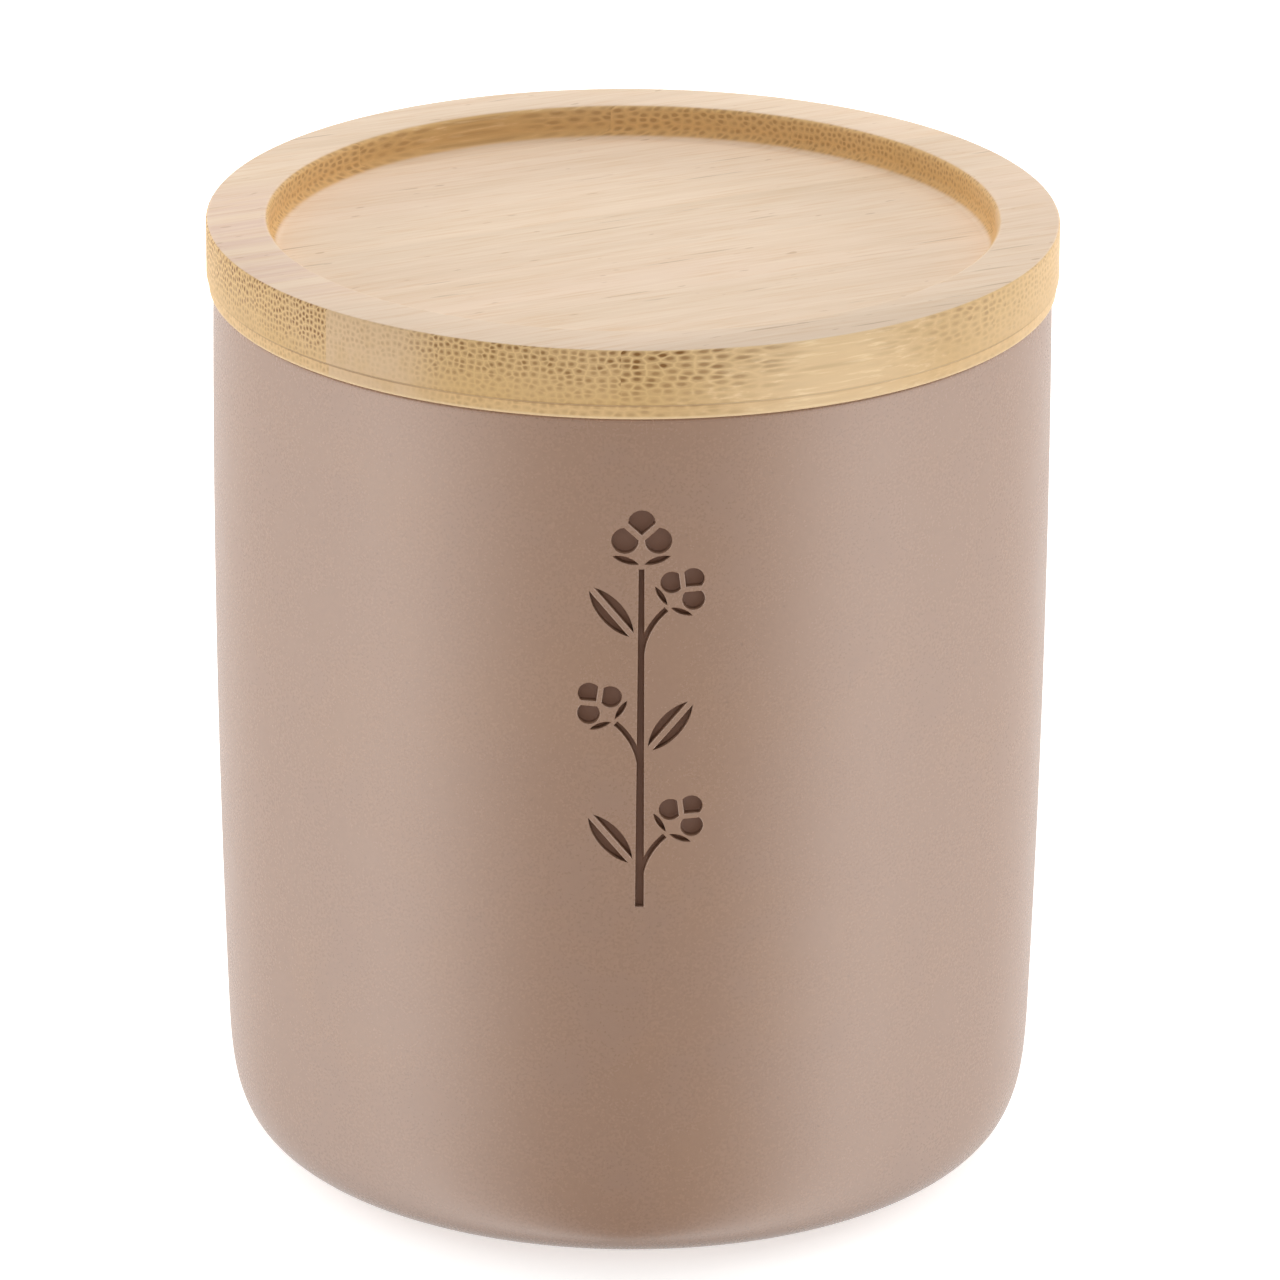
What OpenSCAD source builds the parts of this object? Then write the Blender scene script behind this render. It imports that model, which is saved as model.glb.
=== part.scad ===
// Round cotton jar: a cast cup with a carved sprig, and a lift-off lid of glued bamboo plies.
// Millimetres, +Z up, origin at the middle of the jar's base. The carved side faces -Y.

/* [Jar] */
// Height of the cast jar, base to rim
jar_h = 107.2; // [95:0.1:130]
// Outside diameter at the rim
jar_rim_d = 99.4; // [90:0.1:115]
// How much narrower the base is than the rim, before the foot curves in
jar_taper = 3.2; // [0:0.1:8]
// How far the wall swells past a straight line, at mid height
jar_swell = 0.75; // [0:0.05:2]
// Height of the curve at the foot
foot_rise = 18.7; // [12:0.1:24]
// How far the foot curve runs in under the jar
foot_run = 14.6; // [8:0.1:20]
// Power of the foot curve: 2 is an ellipse, more is squarer
foot_power = 4; // [2:0.1:5]
// Wall thickness at the mouth and the base; the swell adds to it between them
jar_wall = 4.5; // [3.5:0.1:6]
// Thickness of the floor
jar_floor = 5; // [3:0.1:8]
// Radius of the inside corner at the floor
inside_corner = 6; // [3:0.5:9]
// Rounding of the rim's two edges
rim_round = 0.8; // [0.3:0.1:1.2]

/* [Carving] */
// Height of the carved sprig
sprig_h = 49; // [40:1:60]
// Distance from the rim down to the top of the sprig
sprig_drop = 11; // [6:0.5:20]
// Angle of the sprig from the middle of the front
sprig_turn = 1.4; // [-10:0.1:10]
// Depth of the carving
sprig_depth = 1; // [0.5:0.1:1.5]
// Width of the stem at its foot
stem_w = 1.2; // [0.8:0.1:1.8]
// Width of a side branch and of the stem's top
branch_w = 0.85; // [0.6:0.05:1.2]
// Radius of a side branch's bend
branch_r = 8.1; // [6:0.1:9]
// Radius of one lobe of a cotton boll
lobe_r = 1.65; // [1.4:0.05:1.9]
// Length of a leaf
leaf_len = 8; // [6:0.5:9]
// Width of a leaf
leaf_w = 3; // [2:0.1:3.6]
// Size of a side boll against the top one
side_boll = 0.85; // [0.6:0.05:1]
// Land left standing between neighbouring cuts
carve_land = 0.5; // [0.3:0.05:0.8]

/* [Lid] */
// How far the lid stands out past the jar's rim
lid_overhang = 0.8; // [0:0.1:3]
// Thickness of the upper ply
board_t = 6.7; // [6:0.1:9]
// Width of the flat ring round the recess
ring_w = 7.4; // [5:0.1:12]
// Depth of the recess in the top
recess_depth = 3.9; // [2.8:0.1:4.5]
// Rounding of the board's outer edges
board_round = 0.35; // [0.2:0.05:0.8]
// Rounding of the recess's upper edge
recess_round = 0.7; // [0.3:0.1:1]
// Rounding of the corner round the recess's floor
recess_corner = 1.5; // [0.5:0.1:1.7]
// Thickness of the lower ply where it shows
backing_t = 1.7; // [1.2:0.1:3]
// How far the lower ply's edge is set back from the board's
backing_setback = 0.3; // [0.1:0.1:0.8]
// Chamfer round the lower ply's lower edge
backing_chamfer = 0.25; // [0.1:0.05:0.5]
// How far the plug reaches down into the mouth
plug_depth = 8; // [6:0.5:14]
// Gap between the plug and the mouth's wall
plug_gap = 1.4; // [1.2:0.1:2]
// Chamfer round the plug's lower edge
plug_chamfer = 0.8; // [0.3:0.1:1.2]

/* [Seal] */
// Height of the seal ring
seal_h = 3.4; // [3:0.1:4]
// Depth of the groove in the plug that holds the ring
seal_groove = 1.2; // [0.8:0.1:1.6]
// How far the ring's body stands out of the plug, short of its lips
seal_stand = 0.5; // [0.3:0.05:0.6]
// Clearance between the ring's lips and the mouth's wall
seal_clear = 0.25; // [0.1:0.05:0.5]
// Thickness of one lip at its edge
lip_t = 0.6; // [0.4:0.1:0.8]
// Distance from the lower ply down to the groove
seal_drop = 2; // [1.5:0.1:2.4]

/* [Hidden] */
$fn = 180;

jar_colour = [0.64, 0.53, 0.47];
board_colour = [0.89, 0.78, 0.66];
backing_colour = [0.84, 0.71, 0.53];
seal_colour = [0.9, 0.9, 0.88];

wall_steps = 6; // straight stretches in the swelling wall
foot_steps = 18; // straight stretches in the foot curve
turn_steps = 6; // straight stretches in a small rounding

jar_base_r = (jar_rim_d - jar_taper) / 2;
lid_r = jar_rim_d / 2 + lid_overhang;
recess_r = lid_r - ring_w;
backing_r = lid_r - backing_setback;
mouth_r = inner_r(jar_h);
board_z = jar_h + backing_t;
plug_z = jar_h - plug_depth;
plug_r = inner_r(plug_z) - plug_gap;
seal_z = jar_h - seal_drop - seal_h;
seal_in_r = plug_r - seal_groove;
seal_out_r = inner_r(seal_z) - seal_clear;
front_r = jar_rim_d / 2 + jar_swell;
sprig_low = jar_h - sprig_drop - sprig_h;
stem_h = sprig_h - 4 * lobe_r - carve_land;
branches = 3;
branch_step = stem_h / branches; // height between neighbouring branches
branch_low = 0.2; // how far up its own step each branch leaves the stem
leaf_low = 0.2; // how far above the branch, in steps, its leaf starts
branch_turn = 50; // degrees that a branch bends away from the stem
boll_turn = 40; // degrees that a side boll leans out
leaf_turn = 40; // degrees that a leaf leans out
rib_low = 0.2; // where on its leaf the rib starts
bract_turn = 72; // degrees that a bract leans out from its boll
bract_len = 2 * lobe_r;
bract_w = 0.6 * lobe_r;

// Outer radius of the wall at height z, without the foot curve
function wall_r(z) = let (f = z / jar_h)
    jar_base_r + jar_taper / 2 * f + 4 * jar_swell * f * (1 - f);

// Outer radius at height z with the foot curve, a superellipse
function outer_r(z) = let (d = max(0, 1 - z / foot_rise))
    wall_r(z) - foot_run * (1 - pow(1 - pow(d, foot_power), 1 / foot_power));

// Inside radius at height z, a straight draft
function inner_r(z) = jar_base_r + jar_taper / 2 * z / jar_h - jar_wall;

// Points along an arc from angle a0 to angle a1
function arc(centre, r, a0, a1) =
    [for (i = [0:turn_steps]) let (a = a0 + (a1 - a0) * i / turn_steps) centre + r * [cos(a), sin(a)]];

// Outline of the outside from the base up to height top
function outside(top) = concat(
    [for (i = [0:foot_steps]) let (z = foot_rise * (1 - cos(90 * i / foot_steps))) [outer_r(z), z]],
    [for (i = [1:wall_steps]) let (z = foot_rise + (top - foot_rise) * i / wall_steps) [wall_r(z), z]]);

// A pointed oval of two arcs, from [0, 0] up to [0, len]
module oval(len, w) {
    bow_r = (len * len + w * w) / (4 * w);
    intersection() {
        translate([bow_r - w / 2, len / 2]) circle(bow_r);
        translate([w / 2 - bow_r, len / 2]) circle(bow_r);
    }
}

// One leaf, with a bare rib down its middle
module leaf_cut() {
    difference() {
        oval(leaf_len, leaf_w);
        translate([-carve_land / 2, leaf_len * rib_low]) square([carve_land, leaf_len]);
    }
}

// One cotton boll, 4 lobe radii high: three round lobes parted by lands, over a pair of bracts
module boll_cut() {
    top_lobe = [0, 3 * lobe_r];
    side_lobe = [lobe_r + carve_land / 2, 1.75 * lobe_r];
    lean = atan2(top_lobe.y - side_lobe.y, side_lobe.x); // of the land between the top lobe and a side one
    middle = (top_lobe + side_lobe) / 2 - side_lobe.x / 2 * [1, 1 / tan(lean)];
    difference() {
        union() {
            translate(top_lobe) circle(lobe_r);
            for (side = [-1, 1]) translate([side * side_lobe.x, side_lobe.y]) circle(lobe_r);
        }
        for (side = [-1, 1]) translate(middle) rotate(-side * lean)
            translate([-carve_land / 2, 0]) square([carve_land, 3 * lobe_r]);
    }
    for (side = [-1, 1]) translate([side * carve_land / 2, 0]) rotate(-side * bract_turn) oval(bract_len, bract_w);
}

// A side branch: an arc that leaves the stem along it and bends outwards by branch_turn
module branch_cut() {
    reach = 2 * branch_r;
    translate([branch_r, 0]) intersection() {
        difference() {
            circle(branch_r + branch_w / 2);
            circle(branch_r - branch_w / 2);
        }
        polygon([[0, 0], [-reach, 0], [-reach, reach], reach * [cos(180 - branch_turn), sin(180 - branch_turn)]]);
    }
}

// The whole sprig, flat, from [0, 0] up to [0, sprig_h]
module sprig_outline() {
    branch_end = branch_r * [1 - cos(branch_turn), sin(branch_turn)];
    polygon([[-stem_w / 2, 0], [stem_w / 2, 0], [branch_w / 2, stem_h], [-branch_w / 2, stem_h]]);
    translate([0, stem_h + carve_land]) boll_cut();
    for (i = [0:branches - 1]) mirror([i % 2, 0]) translate([0, branch_step * (i + branch_low)]) {
        branch_cut();
        translate(branch_end) rotate(-boll_turn) translate([0, carve_land]) scale(side_boll) boll_cut();
        translate([-(stem_w + carve_land) / 2, branch_step * leaf_low]) rotate(leaf_turn) leaf_cut();
    }
}

// What the carving takes away, down to a floor that keeps sprig_depth under the wall
module carving() {
    spare = 1;
    sprig_top = sprig_low + sprig_h;
    difference() {
        rotate(sprig_turn) translate([0, 0, sprig_low]) rotate([90, 0, 0])
            linear_extrude(front_r + spare) sprig_outline();
        translate([0, 0, sprig_low - spare])
            cylinder(h = sprig_h + 2 * spare, r1 = wall_r(sprig_low) - sprig_depth, r2 = wall_r(sprig_top) - sprig_depth);
    }
}

module jar() {
    rim_r = jar_rim_d / 2;
    corner_r = inner_r(jar_floor) - inside_corner;
    color(jar_colour) difference() {
        rotate_extrude() polygon(concat(
            [[0, 0]],
            outside(jar_h - rim_round),
            arc([rim_r - rim_round, jar_h - rim_round], rim_round, 0, 90),
            arc([mouth_r + rim_round, jar_h - rim_round], rim_round, 90, 180),
            arc([corner_r, jar_floor + inside_corner], inside_corner, 0, -90),
            [[0, jar_floor]]));
        carving();
    }
}

module lid_board() {
    color(board_colour) translate([0, 0, board_z]) rotate_extrude() polygon(concat(
        [[0, 0], [lid_r - board_round / 2, 0], [lid_r, board_round / 2]],
        arc([lid_r - board_round, board_t - board_round], board_round, 0, 90),
        arc([recess_r + recess_round, board_t - recess_round], recess_round, 90, 180),
        arc([recess_r - recess_corner, board_t - recess_depth + recess_corner], recess_corner, 0, -90),
        [[0, board_t - recess_depth]]));
}

module lid_backing() {
    color(backing_colour) rotate_extrude() polygon([
        [0, plug_z],
        [plug_r - plug_chamfer, plug_z],
        [plug_r, plug_z + plug_chamfer],
        [plug_r, seal_z],
        [seal_in_r, seal_z],
        [seal_in_r, seal_z + seal_h],
        [plug_r, seal_z + seal_h],
        [plug_r, jar_h],
        [backing_r - backing_chamfer, jar_h],
        [backing_r, jar_h + backing_chamfer],
        [backing_r, board_z],
        [0, board_z]]);
}

module seal_ring() {
    body_r = plug_r + seal_stand;
    lip_rise = lip_t / 2;
    color(seal_colour) rotate_extrude() polygon([
        [seal_in_r, seal_z],
        [body_r, seal_z],
        [seal_out_r, seal_z + lip_rise],
        [seal_out_r, seal_z + lip_rise + lip_t],
        [body_r, seal_z + lip_rise + lip_t + lip_rise],
        [body_r, seal_z + seal_h - 2 * lip_rise - lip_t],
        [seal_out_r, seal_z + seal_h - lip_rise - lip_t],
        [seal_out_r, seal_z + seal_h - lip_rise],
        [body_r, seal_z + seal_h],
        [seal_in_r, seal_z + seal_h]]);
}

jar();
lid_board();
lid_backing();
seal_ring();
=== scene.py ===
import math

import bmesh
import bpy
from mathutils import Matrix, Vector


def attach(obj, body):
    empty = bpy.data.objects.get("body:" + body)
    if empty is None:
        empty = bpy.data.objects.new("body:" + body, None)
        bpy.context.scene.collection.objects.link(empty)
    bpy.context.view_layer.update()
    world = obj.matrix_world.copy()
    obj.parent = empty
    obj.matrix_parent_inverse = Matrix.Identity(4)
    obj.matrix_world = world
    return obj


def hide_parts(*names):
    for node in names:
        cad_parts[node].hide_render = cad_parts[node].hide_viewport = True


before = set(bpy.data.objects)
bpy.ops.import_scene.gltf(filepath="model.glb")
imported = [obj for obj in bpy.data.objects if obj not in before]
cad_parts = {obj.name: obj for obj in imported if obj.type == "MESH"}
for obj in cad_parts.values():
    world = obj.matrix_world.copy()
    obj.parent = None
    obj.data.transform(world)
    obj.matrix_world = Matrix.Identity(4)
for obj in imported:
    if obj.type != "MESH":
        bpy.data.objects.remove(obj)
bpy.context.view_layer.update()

mm = 0.001


def toLinear(red, green, blue):
    scaled = [c / 255 for c in (red, green, blue)]
    return tuple(c / 12.92 if c <= 0.04045 else ((c + 0.055) / 1.055) ** 2.4 for c in scaled) + (1,)


# small helpers for outlines and turned pieces

def arcPoints(cx, cz, radius, start, end, steps):
    turns = [math.radians(start + (end - start) * i / steps) for i in range(steps + 1)]
    return [(cx + radius * math.cos(a), cz + radius * math.sin(a)) for a in turns]


def splitLong(outline, longest):
    finer = [outline[0]]  # long straight runs get rings of their own
    for point in outline[1:]:
        last = finer[-1]
        parts = max(1, math.ceil(math.dist(last, point) / longest))
        finer += [tuple(a + (b - a) * k / parts for a, b in zip(last, point)) for k in range(1, parts + 1)]
    return finer


def turnedMesh(outline, steps, closed=False):
    mesh = bmesh.new()
    verts = [mesh.verts.new((r * mm, 0, z * mm)) for r, z in outline]
    pairs = list(zip(verts, verts[1:])) + ([(verts[-1], verts[0])] if closed else [])
    edges = [mesh.edges.new(pair) for pair in pairs]
    bmesh.ops.spin(mesh, geom=verts + edges, cent=(0, 0, 0), axis=(0, 0, 1),
                   angle=math.tau, steps=steps, use_merge=True, use_duplicate=False)
    bmesh.ops.remove_doubles(mesh, verts=mesh.verts, dist=1e-6)
    bmesh.ops.recalc_face_normals(mesh, faces=mesh.faces)
    return mesh


def makeObject(name, mesh, material=None, sharp=35):
    data = bpy.data.meshes.new(name)
    mesh.to_mesh(data)
    mesh.free()
    data.shade_smooth()
    data.set_sharp_from_angle(angle=math.radians(sharp))
    thing = bpy.data.objects.new(name, data)
    bpy.context.scene.collection.objects.link(thing)
    if material:
        data.materials.append(material)
    return thing


# node helpers

def put(tree, kind, inputs=None, **settings):
    made = tree.nodes.new(kind)
    for key, value in settings.items():
        setattr(made, key, value)
    for key, value in (inputs or {}).items():
        if isinstance(value, bpy.types.NodeSocket):
            tree.links.new(value, made.inputs[key])
        else:
            made.inputs[key].default_value = value
    return made


def calc(tree, operation, a, b=0.0, clamp=False):
    return put(tree, "ShaderNodeMath", {0: a, 1: b}, operation=operation, use_clamp=clamp).outputs[0]


def times(tree, a, b):
    return calc(tree, "MULTIPLY", a, b)


def scaleAdd(tree, value, by, plus):
    return put(tree, "ShaderNodeMath", {0: value, 1: by, 2: plus}, operation="MULTIPLY_ADD").outputs[0]


def ramp(tree, value, low, high, start=0.0, end=1.0):
    return put(tree, "ShaderNodeMapRange", {0: value, 1: low, 2: high, 3: start, 4: end},
               interpolation_type="SMOOTHSTEP").outputs[0]


def mixColour(tree, factor, a, b):
    return put(tree, "ShaderNodeMix", {0: factor, 6: a, 7: b}, data_type="RGBA").outputs[2]


def fromAxis(tree, vector):
    flat = put(tree, "ShaderNodeVectorMath", {0: vector, 1: (1, 1, 0)}, operation="MULTIPLY").outputs[0]
    return put(tree, "ShaderNodeVectorMath", {0: flat}, operation="LENGTH").outputs["Value"]


def stretched(tree, parts, factors):
    scaled = {i: times(tree, part, by) for i, (part, by) in enumerate(zip(parts, factors))}
    return put(tree, "ShaderNodeCombineXYZ", scaled).outputs[0]


def noise(tree, vector, scale=1.0, detail=2.0, roughness=0.5):
    return put(tree, "ShaderNodeTexNoise",
               {"Vector": vector, "Scale": scale, "Detail": detail, "Roughness": roughness})


def newGroup(name, inputs, outputs):
    group = bpy.data.node_groups.new(name, "ShaderNodeTree")
    for label, kind, value in inputs:
        socket = group.interface.new_socket(label, in_out="INPUT", socket_type=kind)
        if value is not None:
            socket.default_value = value
    for label, kind in outputs:
        group.interface.new_socket(label, in_out="OUTPUT", socket_type=kind)
    return group, group.nodes.new("NodeGroupInput").outputs, group.nodes.new("NodeGroupOutput").inputs


def mixShader(tree, factor, a, b):
    return put(tree, "ShaderNodeMixShader", {0: factor, 1: a.outputs[0], 2: b.outputs[0]})


def newMaterial(name):
    material = bpy.data.materials.new(name)
    material.use_nodes = True
    tree = material.node_tree
    tree.nodes.clear()
    shader = tree.nodes.new("ShaderNodeBsdfPrincipled")
    out = tree.nodes.new("ShaderNodeOutputMaterial")
    tree.links.new(shader.outputs[0], out.inputs[0])
    return material, tree, shader


# bamboo: bundles of fibres that run one way through the glued strips

bambooTones = {
    "sideHaze": (214, 184, 148), "paleStrip": (206, 178, 146), "longSide": (226, 196, 154),
    "sideThread": (244, 220, 180), "sideStreak": (196, 162, 112), "milledWall": (214, 169, 108),
    "bundle": (120, 79, 32), "web": (228, 198, 146), "glueShadowLine": (128, 94, 54),
    "lowerEdge": (236, 210, 168), "topHaze": (232, 202, 184), "topBand": (207, 178, 144),
    "topLight": (240, 219, 194), "blush": (214, 182, 168), "fleck": (176, 142, 112),
    "split": (160, 126, 92), "topThread": (208, 174, 136), "topShine": (242, 220, 194),
}


def buildBambooGroup():
    group, given, out = newGroup("bambooGrain", [
        ("Vector", "NodeSocketVector", None),
        ("Normal", "NodeSocketVector", None),
        ("Fibre Turn", "NodeSocketFloat", 27.0),
        ("Strip Width", "NodeSocketFloat", 0.014),
        ("Strip Shift", "NodeSocketFloat", 0.0164),
        ("Strip Seed", "NodeSocketFloat", 0.0),
        ("Bundle Pitch", "NodeSocketFloat", 0.00068),
        ("Bundle Strength", "NodeSocketFloat", 1.0),
        ("Pale Low", "NodeSocketFloat", -0.033),
        ("Pale High", "NodeSocketFloat", -0.0164),
        ("Ply Low", "NodeSocketFloat", 0.1089),
        ("Ply High", "NodeSocketFloat", 0.1156),
        ("Glue Height", "NodeSocketFloat", 0.1089),
        ("Top Color", "NodeSocketColor", (0.8, 0.6, 0.45, 1)),
        ("Side Color", "NodeSocketColor", (0.6, 0.4, 0.2, 1)),
        ("Blush Place", "NodeSocketVector", (-0.0435, -0.012, 0.1156)),
        ("Blush Reach", "NodeSocketFloat", 0.026),
        ("Pore Along", "NodeSocketFloat", -0.002),
        ("Pore Across", "NodeSocketFloat", 0.0066),
        ("Streak Strength", "NodeSocketFloat", 1.0),
    ], [("Color", "NodeSocketColor"), ("Roughness", "NodeSocketFloat"), ("Height", "NodeSocketFloat")])
    t = group
    tone = {name: toLinear(*shade) for name, shade in bambooTones.items()}
    turn = times(t, calc(t, "RADIANS", given["Fibre Turn"]), -1.0)
    angle = put(t, "ShaderNodeCombineXYZ", {2: turn}).outputs[0]
    grain = put(t, "ShaderNodeMapping", {0: given["Vector"], 2: angle}).outputs[0]
    along, across, up = put(t, "ShaderNodeSeparateXYZ", {0: grain}).outputs

    drift = noise(t, stretched(t, (along, across, up), (9.0, 60.0, 60.0)), detail=1.0)  # lazy waver
    driftParts = put(t, "ShaderNodeSeparateXYZ", {0: drift.outputs["Color"]}).outputs
    sway = [times(t, calc(t, "SUBTRACT", part, 0.5), 0.001) for part in driftParts[1:]]
    acrossFree = calc(t, "ADD", across, sway[0])
    upFree = calc(t, "ADD", up, sway[1])

    place = calc(t, "DIVIDE", calc(t, "ADD", across, given["Strip Shift"]), given["Strip Width"])
    strip = calc(t, "ADD", calc(t, "FLOOR", place), given["Strip Seed"])
    chance = put(t, "ShaderNodeTexWhiteNoise", {1: strip}, noise_dimensions="1D")
    tint, pace, weight = put(t, "ShaderNodeSeparateColor", {0: chance.outputs["Color"]}).outputs[:3]

    # each strip has its own bundles: their pitch, offset and strength
    pitch = times(t, given["Bundle Pitch"], scaleAdd(t, pace, 0.2, 0.9))
    offset = times(t, tint, 0.031)
    cell = put(t, "ShaderNodeCombineXYZ", {
        0: calc(t, "DIVIDE", calc(t, "ADD", acrossFree, offset), pitch),
        1: calc(t, "DIVIDE", calc(t, "ADD", upFree, offset), times(t, pitch, 1.12)),
    }).outputs[0]
    near = put(t, "ShaderNodeTexVoronoi", {"Vector": cell, "Scale": 1.0, "Randomness": 0.66},
               feature="F1", voronoi_dimensions="2D")
    border = put(t, "ShaderNodeTexVoronoi", {"Vector": cell, "Scale": 1.0, "Randomness": 0.66},
                 feature="DISTANCE_TO_EDGE", voronoi_dimensions="2D")
    d = near.outputs["Distance"]
    dot = ramp(t, d, 0.12, 0.42, 1.0, 0.0)
    filled = ramp(t, border.outputs["Distance"], 0.02, 0.24)
    web = ramp(t, border.outputs["Distance"], 0.0, 0.1, 1.0, 0.0)
    cellChance = put(t, "ShaderNodeSeparateColor", {0: near.outputs["Color"]}).outputs[0]

    # bundles crowd towards the skin side, which lies upwards; one strip has few of them
    rise = put(t, "ShaderNodeMapRange", {0: up, 1: given["Ply Low"], 2: given["Ply High"]}).outputs[0]
    riseFree = calc(t, "ADD", rise, times(t, calc(t, "SUBTRACT", driftParts[0], 0.5), 0.6))
    crowd = ramp(t, riseFree, -0.05, 0.8, 0.25, 1.0)
    paleRise = ramp(t, across, given["Pale Low"], calc(t, "ADD", given["Pale Low"], 0.008))
    pale = times(t, paleRise, calc(t, "LESS_THAN", across, given["Pale High"]))
    dense = scaleAdd(t, pale, -0.72, 1.0)
    uneven = scaleAdd(t, cellChance, 0.6, 0.55)

    facing = put(t, "ShaderNodeSeparateXYZ", {0: given["Normal"]}).outputs[2]
    topness = ramp(t, calc(t, "ABSOLUTE", facing), 0.72, 0.985)
    side = calc(t, "SUBTRACT", 1.0, topness)
    radius = fromAxis(t, given["Vector"])
    milled = ramp(t, radius, 0.0446, 0.0456, 1.0, 0.0)  # the recess's wall, not the lid's outside
    sanded = calc(t, "SUBTRACT", 1.0, milled)
    turned = put(t, "ShaderNodeMapping", {0: given["Normal"], 2: angle}).outputs[0]
    endness = calc(t, "ABSOLUTE", put(t, "ShaderNodeSeparateXYZ", {0: turned}).outputs[0])
    lengthwise = ramp(t, endness, 0.04, 0.46, 1.0, 0.0)  # where a side runs with the fibres
    smooth = scaleAdd(t, times(t, lengthwise, scaleAdd(t, milled, -0.5, 1.0)), -0.75, 1.0)
    far = times(t, ramp(t, along, -0.01, 0.012), sanded)
    farEnd = scaleAdd(t, far, -0.6, 1.0)
    strength = times(t, times(t, crowd, dense),
                    times(t, scaleAdd(t, weight, 0.3, 0.85), given["Bundle Strength"]))
    strength = times(t, strength, times(t, smooth, farEnd))

    grainParts = (along, acrossFree, upFree)
    fine = noise(t, stretched(t, grainParts, (105.0, 1900.0, 1900.0)),
                 detail=3.0, roughness=0.62).outputs[0]
    bands = noise(t, stretched(t, grainParts, (12.0, 330.0, 330.0)), detail=3.0, roughness=0.6).outputs[0]
    clouds = noise(t, stretched(t, (along, across, up), (14.0, 48.0, 48.0))).outputs[0]
    fleckNoise = noise(t, stretched(t, grainParts, (420.0, 1500.0, 1500.0)), detail=0.0).outputs[0]
    crackNoise = noise(t, stretched(t, grainParts, (90.0, 1500.0, 1500.0)), detail=0.0).outputs[0]
    crack = ramp(t, crackNoise, 0.78, 0.86)
    poreOff = calc(t, "ABSOLUTE", calc(t, "SUBTRACT", acrossFree, given["Pore Across"]))
    poreRun = calc(t, "ABSOLUTE", calc(t, "SUBTRACT", along, given["Pore Along"]))
    pore = times(t, ramp(t, poreOff, 0.00004, 0.0002, 1.0, 0.0),
                 ramp(t, poreRun, 0.0025, 0.0062, 1.0, 0.0))
    split = calc(t, "MAXIMUM", crack, pore)
    away = put(t, "ShaderNodeVectorMath", {0: given["Vector"], 1: given["Blush Place"]},
               operation="DISTANCE")
    blushNear = calc(t, "DIVIDE", away.outputs["Value"], given["Blush Reach"])
    blushed = times(t, ramp(t, blushNear, 0.5, 1.0, 1.0, 0.0), ramp(t, bands, 0.36, 0.62))
    blush = times(t, blushed, ramp(t, up, 0.114, 0.1153))
    fleck = ramp(t, calc(t, "ADD", fleckNoise, times(t, blush, 0.1)), 0.8, 0.88)

    # colour of the end and edge grain
    sideBase = mixColour(t, times(t, ramp(t, clouds, 0.35, 0.7), 0.3), given["Side Color"],
                         tone["sideHaze"])
    sidePale = mixColour(t, times(t, pale, 0.6), sideBase, tone["paleStrip"])
    # paler where a side runs with the fibres and at the far end along them: long-grain tone, partly a
    # painted sheen
    paleGrainAndSheen = calc(t, "MAXIMUM", times(t, lengthwise, sanded), times(t, far, 0.3))
    sideLong = mixColour(t, times(t, paleGrainAndSheen, 0.85), sidePale, tone["longSide"])
    threads = times(t, times(t, ramp(t, fine, 0.52, 0.7), lengthwise), 0.55)
    sideThread = mixColour(t, threads, sideLong, tone["sideThread"])
    streaks = mixColour(t, times(t, ramp(t, bands, 0.45, 0.7), 0.3), sideThread, tone["sideStreak"])
    burnt = times(t, milled, ramp(t, up, 0.1118, 0.1152, 0.8, 0.3))
    sideMilled = mixColour(t, burnt, streaks, tone["milledWall"])
    body = calc(t, "ADD", times(t, filled, 0.3), times(t, dot, 0.7))
    dark = calc(t, "MULTIPLY", times(t, body, uneven), strength, clamp=True)
    darkShare = scaleAdd(t, milled, -0.5, 0.95)
    sideDark = mixColour(t, times(t, dark, darkShare), sideMilled, tone["bundle"])
    webShade = times(t, times(t, web, strength), scaleAdd(t, milled, -0.3, 0.3))
    sideWeb = mixColour(t, webShade, sideDark, tone["web"])
    # the glue line between the plies, with a painted shadow under the board's overhang, and the lighter
    # lower edge
    fromGlue = calc(t, "ABSOLUTE", calc(t, "SUBTRACT", up, given["Glue Height"]))
    glueWithShadow = times(t, ramp(t, fromGlue, 0.00008, 0.00026, 1.0, 0.0), ramp(t, clouds, 0.25, 0.6, 0.25, 0.7))
    sideGlueShadow = mixColour(t, glueWithShadow, sideWeb, tone["glueShadowLine"])
    sideEdge = mixColour(t, ramp(t, up, 0.10738, 0.1077, 0.6, 0.0), sideGlueShadow, tone["lowerEdge"])
    # colour of the long grain
    topBase = mixColour(t, times(t, ramp(t, clouds, 0.4, 0.72), 0.22), given["Top Color"],
                        tone["topHaze"])
    topBand = mixColour(t, times(t, ramp(t, bands, 0.42, 0.72), 0.3), topBase, tone["topBand"])
    lightBand = times(t, ramp(t, bands, 0.5, 0.25), 0.2)
    topLight = mixColour(t, lightBand, topBand, tone["topLight"])
    topBlush = mixColour(t, times(t, blush, 0.6), topLight, tone["blush"])
    topFleck = mixColour(t, times(t, fleck, 0.5), topBlush, tone["fleck"])
    topSplit = mixColour(t, times(t, split, 0.5), topFleck, tone["split"])
    topThread = mixColour(t, times(t, ramp(t, fine, 0.48, 0.72), 0.5), topSplit, tone["topThread"])
    topShine = mixColour(t, times(t, ramp(t, fine, 0.5, 0.28), 0.4), topThread, tone["topShine"])

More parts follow.
